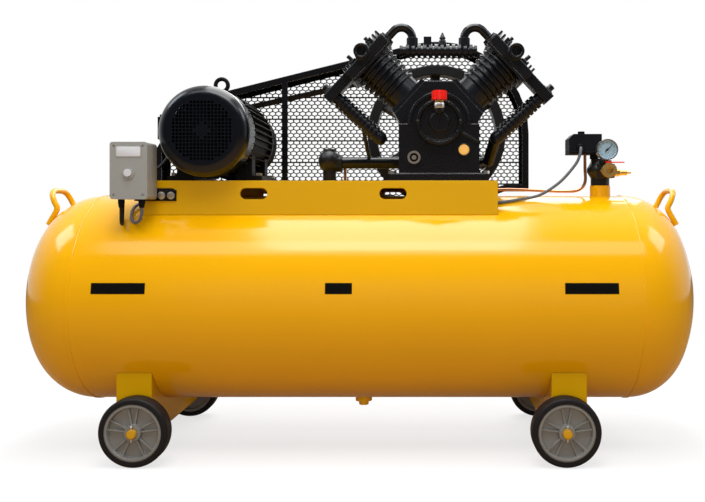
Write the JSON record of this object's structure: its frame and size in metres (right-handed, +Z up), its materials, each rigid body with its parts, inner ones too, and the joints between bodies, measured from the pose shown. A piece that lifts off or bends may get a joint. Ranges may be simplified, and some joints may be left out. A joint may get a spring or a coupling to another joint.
{
  "type": "belt driven piston air compressor",
  "caption": "Piston air compressor: finned V pump and motor joined by belts in a mesh guard, on a horizontal wheeled receiver with gauge and outlet.",
  "frame": {"origin": "on the floor under the middle of the receiver", "axes": "+X along the receiver towards the air outlet, -Y towards the operator, +Z up"},
  "size_m": [1.8852, 0.6, 1.2046],
  "materials": {
    "yellow_paint": "glossy enamel",
    "black_paint": "glossy enamel",
    "cast_black": "painted casting",
    "fin_black": "satin enamel",
    "wheel_black": "painted casting",
    "mesh_black": "satin enamel",
    "bright_steel": "machined",
    "zinc_steel": "zinc plated",
    "dark_fitting": "painted casting",
    "copper": "drawn copper tube",
    "brass": "machined",
    "sight_lens": "clear amber",
    "belt_rubber": "matte",
    "box_plastic": "light grey moulded",
    "lead_grey": "grey sheath",
    "lead_black": "black sheath",
    "switch_plastic": "moulded",
    "gauge_chrome": "polished bezel and pale dial",
    "hub_plastic": "grey moulded",
    "tyre_rubber": "dark solid rubber",
    "needle_black": "painted",
    "red_plastic": "moulded",
    "button_white": "moulded"
  },
  "bodies": {
    "receiver": {"tank_shell": "yellow_paint", "tank_head_left": "yellow_paint", "tank_head_right": "yellow_paint", "lifting_handles": "yellow_paint", "leg_left": "yellow_paint", "leg_right": "yellow_paint", "axles": "yellow_paint", "split_pins": "zinc_steel", "base_plate": "yellow_paint", "motor_housing": "black_paint", "fan_cowl": "black_paint", "terminal_box": "black_paint", "foot_bolts": "zinc_steel", "crankcase": "cast_black", "bearing_cover": "cast_black", "main_bearings": "bright_steel", "cylinder_left": "cast_black", "cylinder_right": "cast_black", "head_left": "cast_black", "head_right": "cast_black", "intercooler": "cast_black", "return_bends": "black_paint", "relief_valve": "dark_fitting", "finned_tube_left": "fin_black", "finned_tube_right": "fin_black", "discharge_pipe": "black_paint", "check_valve": "dark_fitting", "unloader_tube": "copper", "oil_neck": "brass", "sight_glass": "sight_lens", "drive_belts": "belt_rubber", "guard_frame": "black_paint", "guard_mesh": "mesh_black", "control_box": "box_plastic", "box_bracket": "black_paint", "switch_cable": "lead_grey", "motor_cable": "lead_black", "manifold": "dark_fitting", "pressure_switch": "switch_plastic", "gauge_case": "gauge_chrome", "outlet_valve": "brass", "safety_valve": "brass"},
    "crank": {"crankshaft": "bright_steel", "flywheel": "wheel_black"},
    "motor_rotor": {"rotor": "bright_steel", "motor_pulley": "wheel_black", "cooling_fan": "switch_plastic"},
    "wheel_front_left": {"hub_front_left": "hub_plastic", "tyre_front_left": "tyre_rubber"},
    "wheel_front_right": {"hub_front_right": "hub_plastic", "tyre_front_right": "tyre_rubber"},
    "wheel_rear_left": {"hub_rear_left": "hub_plastic", "tyre_rear_left": "tyre_rubber"},
    "wheel_rear_right": {"hub_rear_right": "hub_plastic", "tyre_rear_right": "tyre_rubber"},
    "needle": {"gauge_needle": "needle_black"},
    "lever": {"outlet_lever": "red_plastic"},
    "knob": {"switch_knob": "switch_plastic"},
    "button": {"start_button": "button_white"},
    "filler_cap": {"oil_cap": "red_plastic"}
  },
  "joints": [
    {"name": "crank_spin", "type": "hinge", "parent": "receiver", "child": "crank", "pos_m": [0.217, 0, 0.908], "axis": [0, 1, 0], "continuous": true},
    {"name": "motor_spin", "type": "hinge", "parent": "receiver", "child": "motor_rotor", "pos_m": [-0.415, 0, 0.8795], "axis": [0, 1, 0], "continuous": true},
    {"name": "wheel_front_left_spin", "type": "hinge", "parent": "receiver", "child": "wheel_front_left", "pos_m": [-0.579, -0.265, 0.0905], "axis": [0, 1, 0], "continuous": true},
    {"name": "wheel_rear_left_spin", "type": "hinge", "parent": "receiver", "child": "wheel_rear_left", "pos_m": [-0.579, 0.265, 0.0905], "axis": [0, 1, 0], "continuous": true},
    {"name": "wheel_front_right_spin", "type": "hinge", "parent": "receiver", "child": "wheel_front_right", "pos_m": [0.545, -0.265, 0.0905], "axis": [0, 1, 0], "continuous": true},
    {"name": "wheel_rear_right_spin", "type": "hinge", "parent": "receiver", "child": "wheel_rear_right", "pos_m": [0.545, 0.265, 0.0905], "axis": [0, 1, 0], "continuous": true},
    {"name": "gauge_needle_turn", "type": "hinge", "parent": "receiver", "child": "needle", "pos_m": [0.7, -0.063, 0.84], "axis": [0, 1, 0], "range_deg": [-180, 90]},
    {"name": "outlet_lever_turn", "type": "hinge", "parent": "receiver", "child": "lever", "pos_m": [0.702, -0.06, 0.802], "axis": [0, 0, 1], "range_deg": [-90, 0]},
    {"name": "switch_knob_lift", "type": "slide", "parent": "receiver", "child": "knob", "axis": [0, 0, 1], "range_m": [0, 0.008]},
    {"name": "start_button_press", "type": "slide", "parent": "receiver", "child": "button", "axis": [0, 1, 0], "range_m": [0, 0.004], "stiffness_N_per_m": 300},
    {"name": "oil_cap_lift", "type": "slide", "parent": "receiver", "child": "filler_cap", "axis": [0, 0, 1], "range_m": [0, 0.03]}
  ],
  "couplings": [
    {"joint": "motor_spin", "follows": "crank_spin", "ratio": 2}
  ]
}
